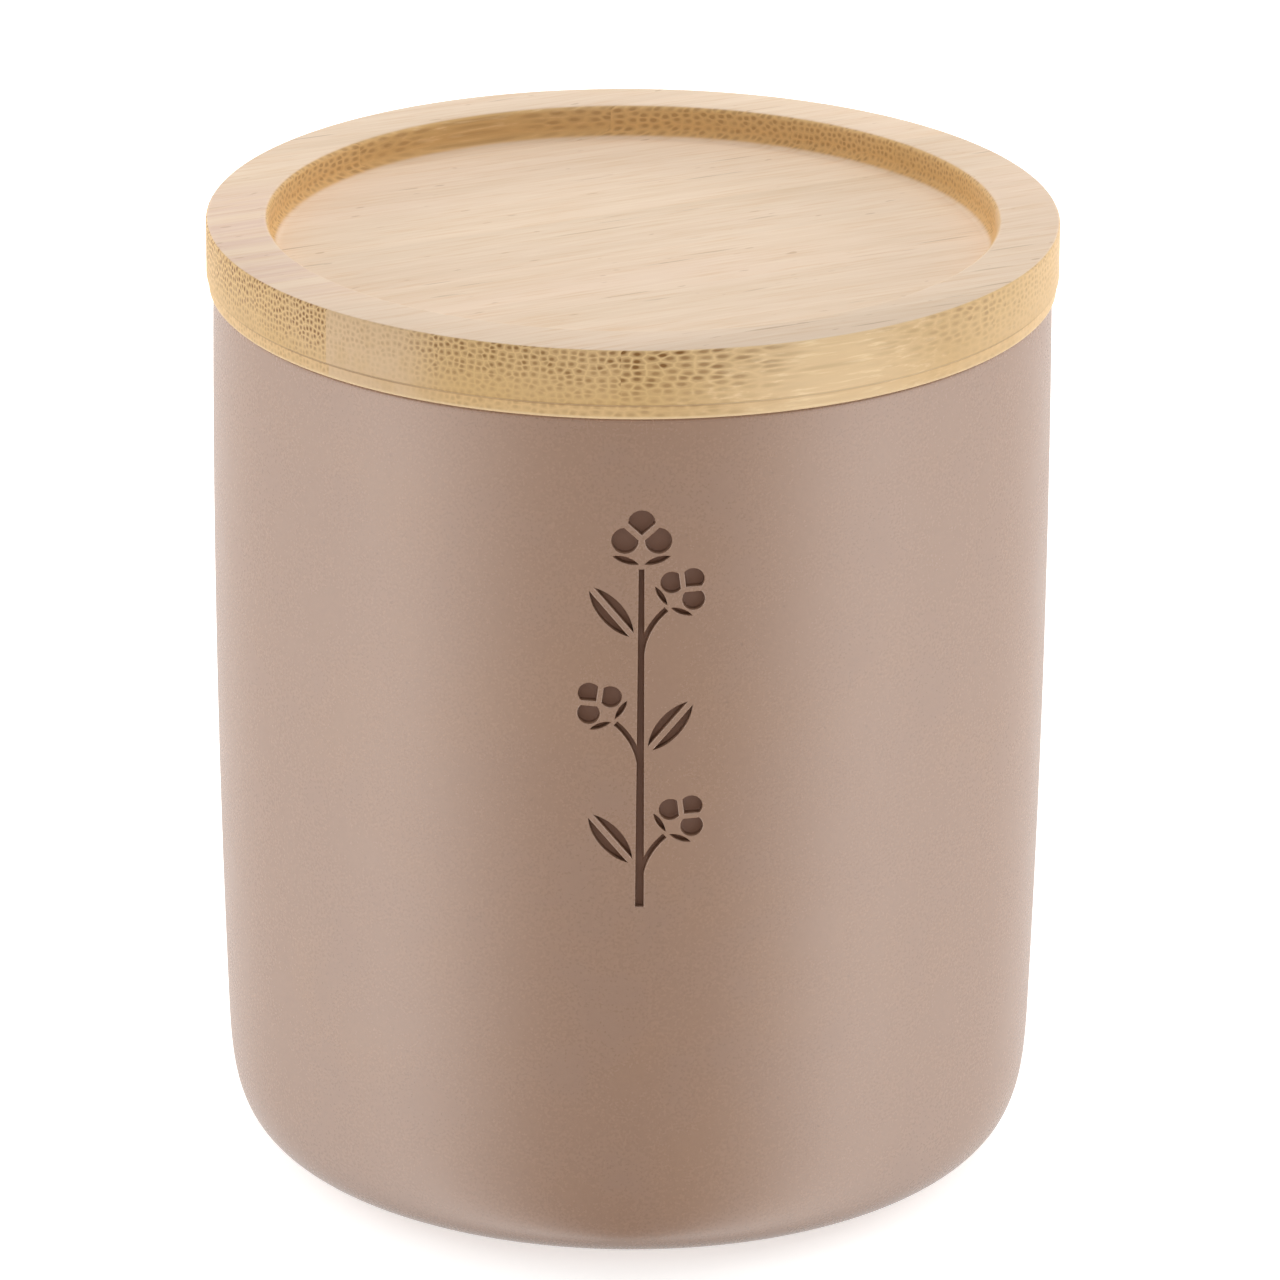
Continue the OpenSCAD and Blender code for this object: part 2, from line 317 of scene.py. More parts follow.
    both = mixColour(t, topness, sideEdge, topShine)
    swing = times(t, calc(t, "SUBTRACT", fine, 0.5), given["Streak Strength"])
    # painted shade: the top is darkened along its front strip, and the ring round the recess more at its
    # front than at its back
    frontShade = scaleAdd(t, times(t, ramp(t, across, -0.0465, -0.0405, 1.0, 0.0), topness), -0.08, 1.0)
    ringTop = times(t, ramp(t, radius, 0.0428, 0.0438), topness)
    ringShade = scaleAdd(t, times(t, ringTop, ramp(t, across, -0.01, 0.02, 1.0, 0.4)), -0.06, 1.0)
    level = times(t, scaleAdd(t, swing, 0.16, 1.0),
                 times(t, scaleAdd(t, tint, 0.05, 0.975), times(t, frontShade, ringShade)))
    final = put(t, "ShaderNodeHueSaturation", {"Color": both, "Value": level}).outputs[0]
    t.links.new(final, out["Color"])

    rough = scaleAdd(t, fine, 0.22, 0.42)
    t.links.new(calc(t, "ADD", rough, times(t, fleck, 0.1)), out["Roughness"])
    pores = times(t, times(t, dark, side), -0.5)
    lines = times(t, calc(t, "ADD", fleck, split), -0.35)
    height = calc(t, "ADD", calc(t, "ADD", pores, lines), times(t, fine, 0.35))
    t.links.new(height, out["Height"])
    return group


bambooGrain = buildBambooGroup()

bambooSettings = {
    "upper": {
        "name": "sandedBambooUpper", "top": (226, 202, 176), "side": (201, 165, 110), "seed": 0.0,
        "shift": 0.0164, "low": 0.1089, "high": 0.1156, "pitch": 0.00068, "bundles": 1.0,
    },
    "lower": {
        "name": "sandedBambooLower", "top": (224, 199, 172), "side": (210, 175, 124), "seed": 37.0,
        "shift": 0.0085, "low": 0.1000, "high": 0.1140, "pitch": 0.00072, "bundles": 0.4,
    },
}


def makeBamboo(values):
    material, tree, shader = newMaterial(values["name"])
    coords = tree.nodes.new("ShaderNodeTexCoord")
    grain = put(tree, "ShaderNodeGroup", {
        "Vector": coords.outputs["Object"], "Normal": coords.outputs["Normal"],
        "Top Color": toLinear(*values["top"]), "Side Color": toLinear(*values["side"]),
        "Strip Seed": values["seed"], "Strip Shift": values["shift"],
        "Ply Low": values["low"], "Ply High": values["high"],
        "Bundle Pitch": values["pitch"], "Bundle Strength": values["bundles"],
    }, node_tree=bambooGrain)
    bump = put(tree, "ShaderNodeBump",
               {"Height": grain.outputs["Height"], "Strength": 0.35, "Distance": 0.00012})
    tree.links.new(grain.outputs["Color"], shader.inputs["Base Color"])
    tree.links.new(grain.outputs["Roughness"], shader.inputs["Roughness"])
    tree.links.new(bump.outputs[0], shader.inputs["Normal"])
    shader.inputs["Specular IOR Level"].default_value = 0.35
    return material


bambooUpper = makeBamboo(bambooSettings["upper"])
bambooLower = makeBamboo(bambooSettings["lower"])
print("bamboo finishes ready")

# cast resin

castSettings = {
    "color": (155, 122, 100), "warm": (159, 124, 98), "cool": (151, 121, 103), "speck": (122, 94, 76),
    # carved: the painted shade of the carving's floors
    "carved": (90, 53, 30), "roughness": 0.27, "specular": 1.0,
}


def buildCastGroup():
    group, given, out = newGroup("castMottle", [
        ("Vector", "NodeSocketVector", None),
        ("Color", "NodeSocketColor", (0.3, 0.2, 0.1, 1)),
        ("Warm Color", "NodeSocketColor", (0.3, 0.2, 0.1, 1)),
        ("Cool Color", "NodeSocketColor", (0.3, 0.2, 0.1, 1)),
        ("Speck Color", "NodeSocketColor", (0.2, 0.1, 0.1, 1)),
        ("Carved Shade Color", "NodeSocketColor", (0.1, 0.05, 0.02, 1)),
        ("Base Roughness", "NodeSocketFloat", 0.4),
        ("Wall Height", "NodeSocketFloat", 0.1072),
        ("Wall Foot", "NodeSocketFloat", 0.0481),
        ("Wall Growth", "NodeSocketFloat", 0.0016),
        ("Wall Swell", "NodeSocketFloat", 0.00075),
    ], [("Color", "NodeSocketColor"), ("Roughness", "NodeSocketFloat"), ("Height", "NodeSocketFloat")])
    t = group
    # how deep a spot lies under the wall's face, to find the floors of the carving, which get a painted
    # shade
    up = put(t, "ShaderNodeSeparateXYZ", {0: given["Vector"]}).outputs[2]
    radius = fromAxis(t, given["Vector"])
    share = calc(t, "DIVIDE", up, given["Wall Height"])
    bow = times(t, times(t, share, calc(t, "SUBTRACT", 1.0, share)), 4.0)
    swollen = scaleAdd(t, bow, given["Wall Swell"], given["Wall Foot"])
    face = scaleAdd(t, share, given["Wall Growth"], swollen)
    depth = calc(t, "SUBTRACT", face, radius)
    deep = times(t, ramp(t, depth, 0.0002, 0.0008), ramp(t, depth, 0.0022, 0.003, 1.0, 0.0))
    nearSprig = times(t, ramp(t, up, 0.03, 0.034), ramp(t, up, 0.1, 0.103, 1.0, 0.0))
    carved = times(t, deep, nearSprig)
    cloud = noise(t, given["Vector"], scale=55.0, detail=3.0).outputs[0]
    haze = noise(t, given["Vector"], scale=130.0, detail=2.0).outputs[0]
    grit = noise(t, given["Vector"], scale=2600.0, detail=2.0).outputs[0]
    dots = put(t, "ShaderNodeTexVoronoi", {"Vector": given["Vector"], "Scale": 620.0, "Randomness": 1.0})
    rare = put(t, "ShaderNodeSeparateColor", {0: dots.outputs["Color"]}).outputs[0]
    speck = times(t, ramp(t, dots.outputs["Distance"], 0.05, 0.16, 1.0, 0.0), ramp(t, rare, 0.72, 0.9))
    warm = mixColour(t, times(t, ramp(t, cloud, 0.48, 0.68), 0.35), given["Color"], given["Warm Color"])
    cool = mixColour(t, times(t, ramp(t, haze, 0.5, 0.72), 0.3), warm, given["Cool Color"])
    dotted = mixColour(t, times(t, speck, 0.35), cool, given["Speck Color"])
    # painted shade: the floors of the carving are darkened to a deep brown
    sunkShade = mixColour(t, times(t, carved, 0.9), dotted, given["Carved Shade Color"])
    value = scaleAdd(t, grit, 0.12, 0.94)
    final = put(t, "ShaderNodeHueSaturation", {"Color": sunkShade, "Value": value}).outputs[0]
    t.links.new(final, out["Color"])
    change = times(t, calc(t, "SUBTRACT", haze, 0.5), 0.1)
    grain = times(t, calc(t, "SUBTRACT", grit, 0.5), 0.1)
    sheen = scaleAdd(t, carved, 0.4, given["Base Roughness"])
    t.links.new(calc(t, "ADD", sheen, calc(t, "ADD", change, grain)), out["Roughness"])
    t.links.new(calc(t, "SUBTRACT", grit, times(t, speck, 0.6)), out["Height"])
    return group


castMottle = buildCastGroup()


def makeCast(values):
    material, tree, shader = newMaterial("castResin")
    coords = tree.nodes.new("ShaderNodeTexCoord")
    mottle = put(tree, "ShaderNodeGroup", {
        "Vector": coords.outputs["Object"], "Color": toLinear(*values["color"]),
        "Warm Color": toLinear(*values["warm"]), "Cool Color": toLinear(*values["cool"]),
        "Speck Color": toLinear(*values["speck"]), "Carved Shade Color": toLinear(*values["carved"]),
        "Base Roughness": values["roughness"],
    }, node_tree=castMottle)
    bump = put(tree, "ShaderNodeBump",
               {"Height": mottle.outputs["Height"], "Strength": 0.12, "Distance": 0.00006})
    tree.links.new(mottle.outputs["Color"], shader.inputs["Base Color"])
    tree.links.new(mottle.outputs["Roughness"], shader.inputs["Roughness"])
    tree.links.new(bump.outputs[0], shader.inputs["Normal"])
    shader.inputs["Specular IOR Level"].default_value = values["specular"]
    return material


castResin = makeCast(castSettings)
print("cast finish ready")

# silicone of the seal

sealFinish = {"color": (226, 226, 222), "shade": (212, 213, 209), "roughness": 0.5}


def makeSilicone(values):
    material, tree, shader = newMaterial("softSilicone")
    coords = tree.nodes.new("ShaderNodeTexCoord")
    cloud = noise(tree, coords.outputs["Object"], scale=150.0, detail=2.0).outputs[0]
    dust = noise(tree, coords.outputs["Object"], scale=1800.0, detail=2.0).outputs[0]
    clear, milky = toLinear(*values["color"]), toLinear(*values["shade"])
    colour = mixColour(tree, ramp(tree, cloud, 0.3, 0.7), clear, milky)
    rough = scaleAdd(tree, dust, 0.2, values["roughness"] - 0.1)
    bump = put(tree, "ShaderNodeBump", {"Height": dust, "Strength": 0.1, "Distance": 0.00005})
    tree.links.new(colour, shader.inputs["Base Color"])
    tree.links.new(rough, shader.inputs["Roughness"])
    tree.links.new(bump.outputs[0], shader.inputs["Normal"])
    shader.inputs["Subsurface Weight"].default_value = 0.15
    shader.inputs["Subsurface Radius"].default_value = (0.001, 0.001, 0.001)
    return material


softSilicone = makeSilicone(sealFinish)
print("silicone ready")

# the jar, in millimetres until it is turned

jar = {
    "height": 107.2, "baseRadius": 48.1, "rimGrowth": 1.6, "swell": 0.75,
    "footRise": 18.7, "footRun": 14.6, "footPower": 4,
    "wall": 4.5, "floor": 5, "insideCorner": 6, "rimRound": 0.8,
    "turnSteps": 360, "footSteps": 40,
}


def wallRadius(z):
    share = z / jar["height"]
    return jar["baseRadius"] + jar["rimGrowth"] * share + 4 * jar["swell"] * share * (1 - share)


def outerRadius(z):
    down = max(0, 1 - z / jar["footRise"])
    return wallRadius(z) - jar["footRun"] * (1 - (1 - down ** jar["footPower"]) ** (1 / jar["footPower"]))


def innerRadius(z):
    return jar["baseRadius"] + jar["rimGrowth"] * z / jar["height"] - jar["wall"]


def jarOutline():
    rimZ = jar["height"] - jar["rimRound"]
    rimR, mouthR = wallRadius(jar["height"]), innerRadius(jar["height"])
    low = [jar["footRise"] * (1 - math.cos(math.radians(90 * i / jar["footSteps"])))
           for i in range(jar["footSteps"] + 1)]
    wallRows = [jar["footRise"] + (rimZ - jar["footRise"]) * i / 24 for i in range(1, 24)]
    corner = jar["insideCorner"]
    points = splitLong([(0, 0), (outerRadius(0), 0)], 9)
    points += [(outerRadius(z), z) for z in low[1:] + wallRows]
    points += arcPoints(rimR - jar["rimRound"], rimZ, jar["rimRound"], 0, 90, 8)
    points += arcPoints(mouthR + jar["rimRound"], rimZ, jar["rimRound"], 90, 180, 8)
    bottom = arcPoints(innerRadius(jar["floor"]) - corner, jar["floor"] + corner, corner, 0, -90, 12)
    points += splitLong([points[-1], bottom[0]], 9)[1:] + bottom[1:]
    points += splitLong([bottom[-1], (0, jar["floor"])], 9)[1:]
    return points


# the carved sprig: tools drawn flat (across, up, depth) and laid on the wall

sprig = {
    "height": 49, "drop": 11, "turn": 1.4, "depth": 1, "stem": 1.2, "branch": 0.85,
    "branchRadius": 8.1, "lobe": 1.65, "leafLength": 8, "leafWidth": 3, "sideBoll": 0.85, "land": 0.5,
    "branchTurn": 50, "bollTurn": 40, "leafTurn": 40,
    "bractTurn": 72, "bractLength": 3.3, "bractWidth": 0.99,
    "branchLow": 0.2, "leafLow": 0.2, "edge": 0.12, "fillet": 0.22,
}
sprigLow = jar["height"] - sprig["drop"] - sprig["height"]
stemHeight = sprig["height"] - 4 * sprig["lobe"] - sprig["land"]
branchStep = stemHeight / 3


def carveLayers():
    edge, fillet, depth = sprig["edge"], sprig["fillet"], sprig["depth"]
    layers = [(-0.6, 0), (-0.02, 0), (edge * 0.35, edge * 0.65), (edge, edge)]  # depth, drawn in by
    for turn in (0, 22.5, 45, 67.5, 90):
        a = math.radians(turn)
        layers.append((depth - fillet * (1 - math.sin(a)), edge + fillet * (1 - math.cos(a))))
    return layers


def sinkShape(mesh, faces, drawIn):
    # push one flat shape down through the layers, narrower by what drawIn says
    layers = carveLayers()
    verts = list({v for f in faces for v in f.verts})
    start = {v: v.co.copy() for v in verts}
    for v in verts:
        v.co.z = layers[0][0]
    for depth, inset in layers[1:]:
        order = [start[v] for v in verts]
        rims = list({e for f in faces for e in f.edges})  # with them the old floor goes
        made = bmesh.ops.extrude_face_region(mesh, geom=faces + rims)
        faces = [g for g in made["geom"] if isinstance(g, bmesh.types.BMFace)]
        fresh = [g for g in made["geom"] if isinstance(g, bmesh.types.BMVert)]
        lookup = {}
        for v in fresh:
            lookup[v] = min(range(len(verts)), key=lambda k: (verts[k].co - v.co).length_squared)
        start = {v: order[k] for v, k in lookup.items()}
        verts = fresh
        for v in verts:
            x, y = drawIn(start[v], inset)
            v.co = Vector((x, y, depth))


def shrinkAbout(centre, halfX, halfY, turn=0.0):
    spin = Matrix.Rotation(math.radians(turn), 2)
    back = spin.transposed()

    def drawIn(point, inset):
        local = back @ (point.xy - centre)
        local = Vector((local.x * (1 - inset / halfX), local.y * (1 - inset / halfY)))
        return spin @ local + centre
    return drawIn


def placed(mesh, verts, turn=0.0, shift=(0, 0), mirrored=False):
    bmesh.ops.rotate(mesh, cent=(0, 0, 0), matrix=Matrix.Rotation(math.radians(turn), 3, "Z"), verts=verts)
    bmesh.ops.translate(mesh, vec=(shift[0], shift[1], 0), verts=verts)
    if mirrored:
        bmesh.ops.scale(mesh, vec=(-1, 1, 1), verts=verts)


def addLobe(mesh, centre, cuts):
    made = bmesh.ops.create_circle(mesh, cap_ends=True, segments=40, radius=sprig["lobe"])
    bmesh.ops.translate(mesh, vec=(centre[0], centre[1], 0), verts=made["verts"])
    for point, away in cuts:
        verts = [v for v in made["verts"] if v.is_valid]
        geom = verts + list({e for v in verts for e in v.link_edges}) + facesOf(verts)
        cut = bmesh.ops.bisect_plane(mesh, geom=geom, plane_co=(*point, 0), plane_no=(*away, 0),
                                     clear_outer=True)
        kept = {g for g in cut["geom"] if isinstance(g, bmesh.types.BMVert) and g.is_valid}
        kept |= {g for g in cut["geom_cut"] if isinstance(g, bmesh.types.BMVert)}
        made["verts"] = list(kept)
    return made["verts"]


def addOval(mesh, length, width, ribHalf=0.0, side=0):
    # a pointed oval standing on its tip, or the half of it on one side of a rib
    bow = (length ** 2 + width ** 2) / (4 * width)
    reach = 2 * math.degrees(math.asin(length / 2 / bow))
    verts = []
    for way in ((1, -1) if side == 0 else (side,)):
        first = mesh.verts.new((0, 0, 0))
        swept = bmesh.ops.spin(mesh, geom=[first], cent=(-way * (bow - width / 2), length / 2, 0),
                               axis=(0, 0, 1), angle=math.radians(way * reach), steps=16)
        arc = [first]
        while True:
            ahead = [e.other_vert(arc[-1]) for e in arc[-1].link_edges if e.other_vert(arc[-1]) not in arc]
            if not ahead:
                break
            arc.append(ahead[0])
        verts.append(arc)
    if side == 0:
        loop = verts[0] + list(reversed(verts[1][1:-1]))
        for spare in (verts[1][0], verts[1][-1]):
            mesh.verts.remove(spare)
    else:
        loop = verts[0]
    face = mesh.faces.new(loop)
    if side != 0:
        cut = bmesh.ops.bisect_plane(mesh, geom=list(face.verts) + list(face.edges) + [face],
                                     plane_co=(side * ribHalf, 0, 0), plane_no=(-side, 0, 0),
                                     clear_outer=True)
        kept = {g for g in cut["geom"] if isinstance(g, bmesh.types.BMVert) and g.is_valid}
        loop = list(kept | {g for g in cut["geom_cut"] if isinstance(g, bmesh.types.BMVert)})
    return loop


def facesOf(verts):
    return list({f for v in verts for f in v.link_faces})


def middleOf(verts):
    return Vector((sum(v.co.x for v in verts), sum(v.co.y for v in verts))) / len(verts)


def stemTool():
    mesh = bmesh.new()
    made = bmesh.ops.create_grid(mesh, x_segments=1, y_segments=16, size=0.5)
    for v in made["verts"]:
        v.co.y = (v.co.y + 0.5) * stemHeight
        width = sprig["stem"] + (sprig["branch"] - sprig["stem"]) * v.co.y / stemHeight
        v.co.x *= width

    def drawIn(point, inset):
        half = abs(point.x)
        ends = inset if point.y < 1e-6 else -inset if point.y > stemHeight - 1e-6 else 0
        return Vector((math.copysign(half - inset, point.x), point.y + ends))
    sinkShape(mesh, facesOf(made["verts"]), drawIn)
    return mesh


def branchTool():
    mesh = bmesh.new()
    radius, half = sprig["branchRadius"], sprig["branch"] / 2
    for i in range(3):
        low = branchStep * (i + sprig["branchLow"])
        mirrored = i % 2 == 1
        pair = [mesh.verts.new((x, 0, 0)) for x in (-half, half)]
        edge = mesh.edges.new(pair)
        before = set(mesh.faces)
        bmesh.ops.spin(mesh, geom=pair + [edge], cent=(radius, 0, 0), axis=(0, 0, 1),
                       angle=-math.radians(sprig["branchTurn"]), steps=10)
        fresh = [f for f in mesh.faces if f not in before]
        verts = list({v for f in fresh for v in f.verts})
        placed(mesh, verts, shift=(0, low), mirrored=mirrored)
        bend = Vector((-radius if mirrored else radius, low))

        def drawIn(point, inset, bend=bend):
            arm = point.xy - bend
            middle = arm.normalized() * radius
            off = arm - middle
            return bend + middle + off * (1 - inset / half)
        sinkShape(mesh, fresh, drawIn)
    return mesh


def addBoll(mesh, turn, shift, size, mirrored, low):
    r, land = sprig["lobe"], sprig["land"]
    top, side = Vector((0, 3 * r)), Vector((r + land / 2, 1.75 * r))
    middle, lean = (top + side) / 2, (top - side).normalized()
    flip = Vector((-1, 1))
    shapes = []
    rightCut = (middle - lean * land / 2, lean)
    topCuts = [(middle + lean * land / 2, -lean), ((middle + lean * land / 2) * flip, -lean * flip)]
    shapes.append((addLobe(mesh, side, [rightCut]), r))
    shapes.append((addLobe(mesh, side * flip, [(rightCut[0] * flip, lean * flip)]), r))
    shapes.append((addLobe(mesh, top, topCuts), r))
    for way in (1, -1):
        bract = addOval(mesh, sprig["bractLength"], sprig["bractWidth"])
        placed(mesh, bract, turn=-way * sprig["bractTurn"], shift=(way * land / 2, 0))
        shapes.append((bract, sprig["bractWidth"] / 2))
    for number, (verts, half) in enumerate(shapes):
        placed(mesh, verts, shift=(0, land))
        placed(mesh, verts, turn=turn, shift=shift)
        if size != 1.0:
            origin = Vector((*shift, 0))
            for v in verts:
                v.co = origin + (v.co - origin) * size
        placed(mesh, verts, shift=(0, low), mirrored=mirrored)
        if number < 3:
            drawIn = shrinkAbout(middleOf(verts), half * size, half * size)
        else:
            way = (1, -1)[number - 3]
            lie = turn - way * sprig["bractTurn"]
            drawIn = shrinkAbout(middleOf(verts), half * size, sprig["bractLength"] / 2 * size,
                                 turn=-lie if mirrored else lie)
        sinkShape(mesh, facesOf(verts), drawIn)


def fruitTool():
    mesh = bmesh.new()
    addBoll(mesh, 0, (0, stemHeight), 1.0, False, 0)
    bend = math.radians(sprig["branchTurn"])
    tip = (sprig["branchRadius"] * (1 - math.cos(bend)), sprig["branchRadius"] * math.sin(bend))
    for i in range(3):
        low, mirrored = branchStep * (i + sprig["branchLow"]), i % 2 == 1
        addBoll(mesh, -sprig["bollTurn"], tip, sprig["sideBoll"], mirrored, low)
        for way in (1, -1):
            half = addOval(mesh, sprig["leafLength"], sprig["leafWidth"], sprig["land"] / 2, way)
            placed(mesh, half, turn=sprig["leafTurn"],
                   shift=(-(sprig["stem"] + sprig["land"]) / 2, branchStep * sprig["leafLow"]))
            placed(mesh, half, shift=(0, low), mirrored=mirrored)
            lie = -sprig["leafTurn"] if mirrored else sprig["leafTurn"]
            sinkShape(mesh, facesOf(half), shrinkAbout(middleOf(half), 0.62, 3.2, turn=lie))
    return mesh


def layOnWall(mesh):
    turn = math.radians(sprig["turn"])
    for v in mesh.verts:
        z = sprigLow + v.co.y
        radius = wallRadius(z) - v.co.z
        x = v.co.x
        v.co = Vector((x, -math.sqrt(radius ** 2 - x ** 2), z)) * mm
    bmesh.ops.rotate(mesh, cent=(0, 0, 0), matrix=Matrix.Rotation(turn, 3, "Z"), verts=mesh.verts)
    bmesh.ops.triangulate(mesh, faces=mesh.faces)
    bmesh.ops.recalc_face_normals(mesh, faces=mesh.faces)
    return mesh


def looseEdges(mesh):
    return sum(1 for e in mesh.edges if len(e.link_faces) != 2)


def carve(target, tool, label):
    print("carving", label, "tool open edges", looseEdges(tool))
    cutter = makeObject("cutter", tool)
    modifier = target.modifiers.new("carve", "BOOLEAN")
    modifier.operation = "DIFFERENCE"
    modifier.solver = "EXACT"
    modifier.object = cutter
    evaluated = target.evaluated_get(bpy.context.evaluated_depsgraph_get())
    done = bpy.data.meshes.new_from_object(evaluated)
    target.modifiers.clear()
    old, target.data = target.data, done
    bpy.data.meshes.remove(old)
    bpy.data.objects.remove(cutter)


castJar = makeObject("castJar", turnedMesh(jarOutline(), jar["turnSteps"]), castResin)
for label, tool in (("stem", stemTool()), ("branches", branchTool()), ("fruit and leaves", fruitTool())):
    carve(castJar, layOnWall(tool), label)
tidy = bmesh.new()
tidy.from_mesh(castJar.data)
bmesh.ops.remove_doubles(tidy, verts=tidy.verts, dist=2e-6)
bmesh.ops.dissolve_degenerate(tidy, edges=tidy.edges, dist=1e-6)
print("jar open edges", looseEdges(tidy), "faces", len(tidy.faces))
tidy.to_mesh(castJar.data)
tidy.free()
castJar.data.shade_smooth()
castJar.data.set_sharp_from_angle(angle=math.radians(25))
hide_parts("jar")
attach(castJar, "jar")
print("jar carved")

# the lid: a board with a milled recess, glued on a ply that is turned down to a plug

lid = {
    "radius": 50.5, "boardLow": 108.9, "boardHigh": 115.6, "recessRadius": 43.1, "recessDepth": 3.9,
    "edgeRound": 0.35, "recessRound": 0.7, "recessCorner": 1.5, "lowerEdge": 0.15,
    "backingRadius": 50.2, "backingLow": 107.2, "backingEdge": 0.25,
    "plugLow": 99.2, "plugGap": 1.4, "plugEdge": 0.8, "turnSteps": 300,
}
seal = {"low": 101.8, "height": 3.4, "groove": 1.2, "stand": 0.5, "clear": 0.25, "lip": 0.6}


def boardOutline():
    rounding, inner, high = lid["edgeRound"], lid["recessRound"], lid["boardHigh"]
    floorZ, corner = high - lid["recessDepth"], lid["recessCorner"]
    points = splitLong([(0, lid["boardLow"]), (lid["radius"] - lid["lowerEdge"], lid["boardLow"])], 9)
    points += [(lid["radius"], lid["boardLow"] + lid["lowerEdge"])]
    points += arcPoints(lid["radius"] - rounding, high - rounding, rounding, 0, 90, 6)
    points += arcPoints(lid["recessRadius"] + inner, high - inner, inner, 90, 180, 8)
    points += arcPoints(lid["recessRadius"] - corner, floorZ + corner, corner, 0, -90, 10)
    return points + splitLong([points[-1], (0, floorZ)], 9)[1:]


plugRadius = innerRadius(lid["plugLow"]) - lid["plugGap"]
sealInside = plugRadius - seal["groove"]
sealOutside = innerRadius(seal["low"]) - seal["clear"]


def backingOutline():
    edge, low = lid["plugEdge"], lid["plugLow"]
    grooveLow, grooveHigh = seal["low"], seal["low"] + seal["height"]
    points = splitLong([(0, low), (plugRadius - edge, low)], 9)
    points += [(plugRadius, low + edge), (plugRadius, grooveLow), (sealInside, grooveLow),
               (sealInside, grooveHigh), (plugRadius, grooveHigh), (plugRadius, lid["backingLow"]),
               (lid["backingRadius"] - lid["backingEdge"], lid["backingLow"]),
               (lid["backingRadius"], lid["backingLow"] + lid["backingEdge"]),
               (lid["backingRadius"], lid["boardLow"])]
    return points + splitLong([points[-1], (0, lid["boardLow"])], 9)[1:]


def sealOutline():
    low, high, lip = seal["low"], seal["low"] + seal["height"], seal["lip"]
    body, tip = plugRadius + seal["stand"], sealOutside
    points = [(sealInside, low), (body, low)]
    for middle in (low + seal["height"] * 0.3, low + seal["height"] * 0.75):
        points += [(body, middle - lip * 0.6), (tip - lip * 0.3, middle), (tip, middle + lip * 0.25),
                   (tip - lip * 0.2, middle + lip * 0.5), (body, middle + lip * 0.4)]
    return points + [(body, high), (sealInside, high)]


def finishPiece(thing, node, body):
    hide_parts(node)
    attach(thing, body)


board = makeObject("bambooBoard", turnedMesh(boardOutline(), lid["turnSteps"]), bambooUpper, 50)
finishPiece(board, "lid_board", "lid")
backing = makeObject("bambooBacking", turnedMesh(backingOutline(), lid["turnSteps"]), bambooLower, 40)
finishPiece(backing, "lid_backing", "lid")
ring = makeObject("siliconeRing", turnedMesh(sealOutline(), 240, closed=True), softSilicone, 60)
finishPiece(ring, "seal_ring", "lid")
print("lid ready")

# stage, light and camera

stage = {
    "floorColor": (244, 244, 244), "cameraGlow": 0.55, "size": 6.0,
    "roomLight": 0.46, "poolsFade": (0.3, 0.75),  # the pools fade out between these heights of the sky
}
# how bright the room is in a reflection, by the angle from the front, in radians
poolStops = [(0.0, 0.3), (0.4, 0.5), (0.66, 1.2), (0.87, 1.9), (1.08, 2.5), (1.31, 2.45), (1.56, 2.0),
             (1.85, 1.65), (2.11, 1.25), (2.35, 1.1), (2.6, 1.0), (math.pi, 0.85)]


def buildPoolGroup():
    group, given, out = newGroup("sidePools", [("Vector", "NodeSocketVector", None)],
                                 [("Brightness", "NodeSocketFloat")])
    place = put(group, "ShaderNodeSeparateXYZ", {0: given["Vector"]}).outputs
    angle = calc(group, "ARCTAN2", place[0], times(group, place[1], -1.0))
    share = calc(group, "DIVIDE", calc(group, "ABSOLUTE", angle), math.pi)
    shades = put(group, "ShaderNodeValToRGB", {0: share})
    stops = shades.color_ramp.elements
    for turn, level in poolStops[1:-1]:
        stops.new(turn / math.pi)
    for stop, (turn, level) in zip(stops, poolStops):
        stop.color = (level / 4, level / 4, level / 4, 1)
    group.links.new(times(group, shades.outputs[0], 4.0), out["Brightness"])
    return group


sidePools = buildPoolGroup()


def makeFloor(values):
    material = bpy.data.materials.new("paleFloor")
    material.use_nodes = True
    tree = material.node_tree
    tree.nodes.clear()
    path = tree.nodes.new("ShaderNodeLightPath")
    pools = put(tree, "ShaderNodeGroup", node_tree=sidePools)
    arrival = tree.nodes.new("ShaderNodeNewGeometry").outputs["Incoming"]
    outward = put(tree, "ShaderNodeVectorMath", {0: arrival, "Scale": -1.0}, operation="SCALE").outputs[0]
    tree.links.new(outward, pools.inputs[0])
    shine = pools.outputs["Brightness"]
    matt = put(tree, "ShaderNodeBsdfDiffuse", {0: toLinear(*values["floorColor"])})
    glow = put(tree, "ShaderNodeEmission", {0: (1, 1, 1, 1), 1: values["cameraGlow"]})
    seen = put(tree, "ShaderNodeAddShader", {0: matt.outputs[0], 1: glow.outputs[0]})
    mirrored = put(tree, "ShaderNodeEmission", {0: (1, 1, 1, 1), 1: shine})
    through = calc(tree, "MAXIMUM", path.outputs["Is Glossy Ray"], path.outputs["Is Transmission Ray"])
    plain = mixShader(tree, path.outputs["Is Camera Ray"], matt, seen)
    final = mixShader(tree, through, plain, mirrored)
    out = tree.nodes.new("ShaderNodeOutputMaterial")
    tree.links.new(final.outputs[0], out.inputs[0])
    material.cycles.emission_sampling = "NONE"
    sheet = bmesh.new()
    bmesh.ops.create_grid(sheet, x_segments=1, y_segments=1, size=values["size"] / 2)
    floor = makeObject("paleFloor", sheet, material)
    return floor


makeFloor(stage)

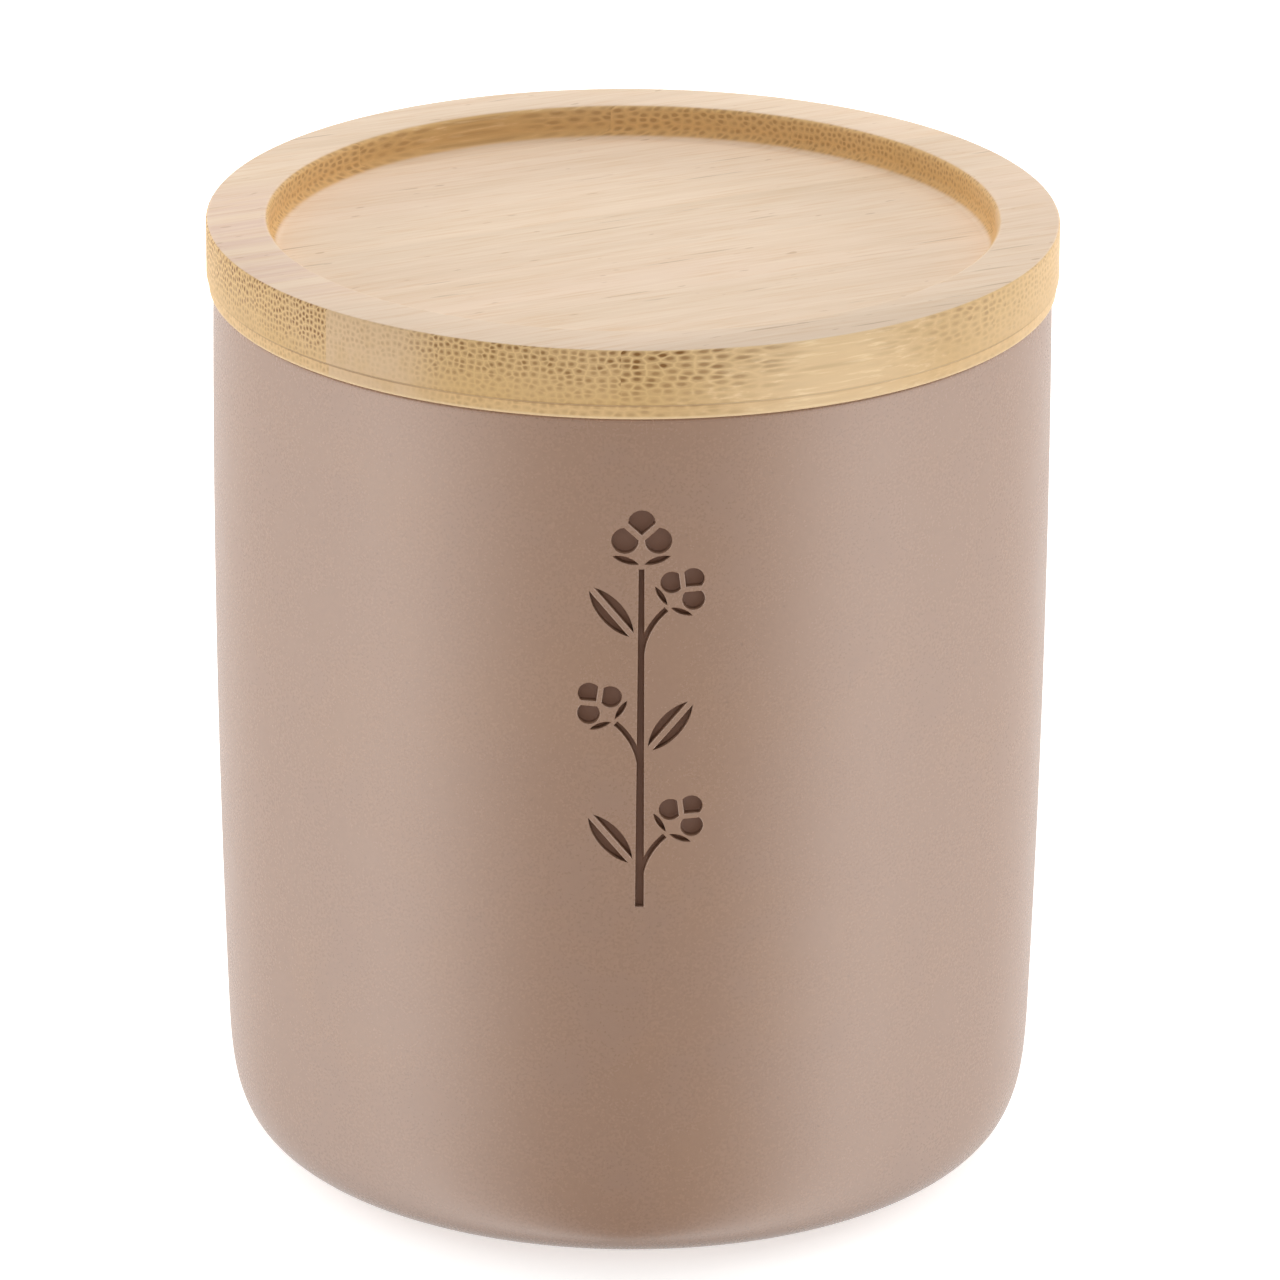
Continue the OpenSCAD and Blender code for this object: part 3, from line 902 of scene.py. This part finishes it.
lights = {  # the level ones aren't mirrored: the pools stand for them in a reflection
    "backLeft": {"from": (-0.48, 0.4, 0.14), "size": (0.6, 0.25), "power": 4.4, "mirrored": False},
    "backRight": {"from": (0.48, 0.4, 0.14), "size": (0.6, 0.25), "power": 4.4, "mirrored": False},
    "front": {"from": (0.0, -0.9, 0.13), "size": (0.9, 0.2), "power": 2.7, "mirrored": False},
    "overhead": {"from": (0.06, 0.25, 0.9), "size": (0.7, 0.7), "power": 4.0, "mirrored": True},
}
aimPoint = Vector((0, 0, 0.06))
for name, values in lights.items():
    lamp = bpy.data.lights.new(name, "AREA")
    lamp.shape = "RECTANGLE"
    lamp.size, lamp.size_y = values["size"]
    lamp.energy = values["power"]
    holder = bpy.data.objects.new(name, lamp)
    holder.visible_glossy = values["mirrored"]
    holder.location = values["from"]
    holder.rotation_mode = "QUATERNION"
    holder.rotation_quaternion = (aimPoint - Vector(values["from"])).to_track_quat("-Z", "Y")
    bpy.context.scene.collection.objects.link(holder)

room = bpy.data.worlds.new("paleRoom")
bpy.context.scene.world = room
room.use_nodes = True
tree = room.node_tree
tree.nodes.clear()
path = tree.nodes.new("ShaderNodeLightPath")
around = tree.nodes.new("ShaderNodeTexCoord").outputs["Generated"]
pools = put(tree, "ShaderNodeGroup", node_tree=sidePools)
tree.links.new(around, pools.inputs[0])
skyHeight = put(tree, "ShaderNodeSeparateXYZ", {0: around}).outputs[2]
lowDown = ramp(tree, skyHeight, *stage["poolsFade"], 1.0, 0.0)
mirrored = scaleAdd(tree, calc(tree, "SUBTRACT", pools.outputs["Brightness"], 1.0), lowDown, 1.0)
shining = calc(tree, "MAXIMUM", path.outputs["Is Glossy Ray"], path.outputs["Is Transmission Ray"])
dim = put(tree, "ShaderNodeBackground", {0: (1, 1, 1, 1), 1: stage["roomLight"]})
bright = put(tree, "ShaderNodeBackground", {0: (1, 1, 1, 1), 1: 1.0})
shiny = put(tree, "ShaderNodeBackground", {0: (1, 1, 1, 1), 1: mirrored})
seen = mixShader(tree, path.outputs["Is Camera Ray"], dim, bright)
both = mixShader(tree, shining, seen, shiny)
tree.links.new(both.outputs[0], put(tree, "ShaderNodeOutputWorld").inputs[0])

view = {"place": (0, -1.009495, 0.44077), "pitch": 20.58, "yaw": 0.00113, "roll": -0.0065, "lens": 251.98}
camera = bpy.data.cameras.new("camera")
camera.lens = view["lens"]
camera.sensor_width = 36
camera.sensor_fit = "HORIZONTAL"
camera.clip_start, camera.clip_end = 0.01, 20
pitch, yaw, roll = math.radians(view["pitch"]), view["yaw"], view["roll"]
ahead = Vector((math.sin(yaw) * math.cos(pitch), math.cos(yaw) * math.cos(pitch), -math.sin(pitch)))
levelRight = Vector((math.cos(yaw), -math.sin(yaw), 0))
levelUp = Vector((math.sin(yaw) * math.sin(pitch), math.cos(yaw) * math.sin(pitch), math.cos(pitch)))
right = levelRight * math.cos(roll) - levelUp * math.sin(roll)
upward = levelRight * math.sin(roll) + levelUp * math.cos(roll)
pose = Matrix((right, upward, -ahead)).transposed().to_4x4()
pose.translation = Vector(view["place"])
cameraObject = bpy.data.objects.new("camera", camera)
cameraObject.matrix_world = pose
bpy.context.scene.collection.objects.link(cameraObject)
bpy.context.scene.camera = cameraObject
bpy.context.scene.view_settings.view_transform = "Standard"
print("stage ready")
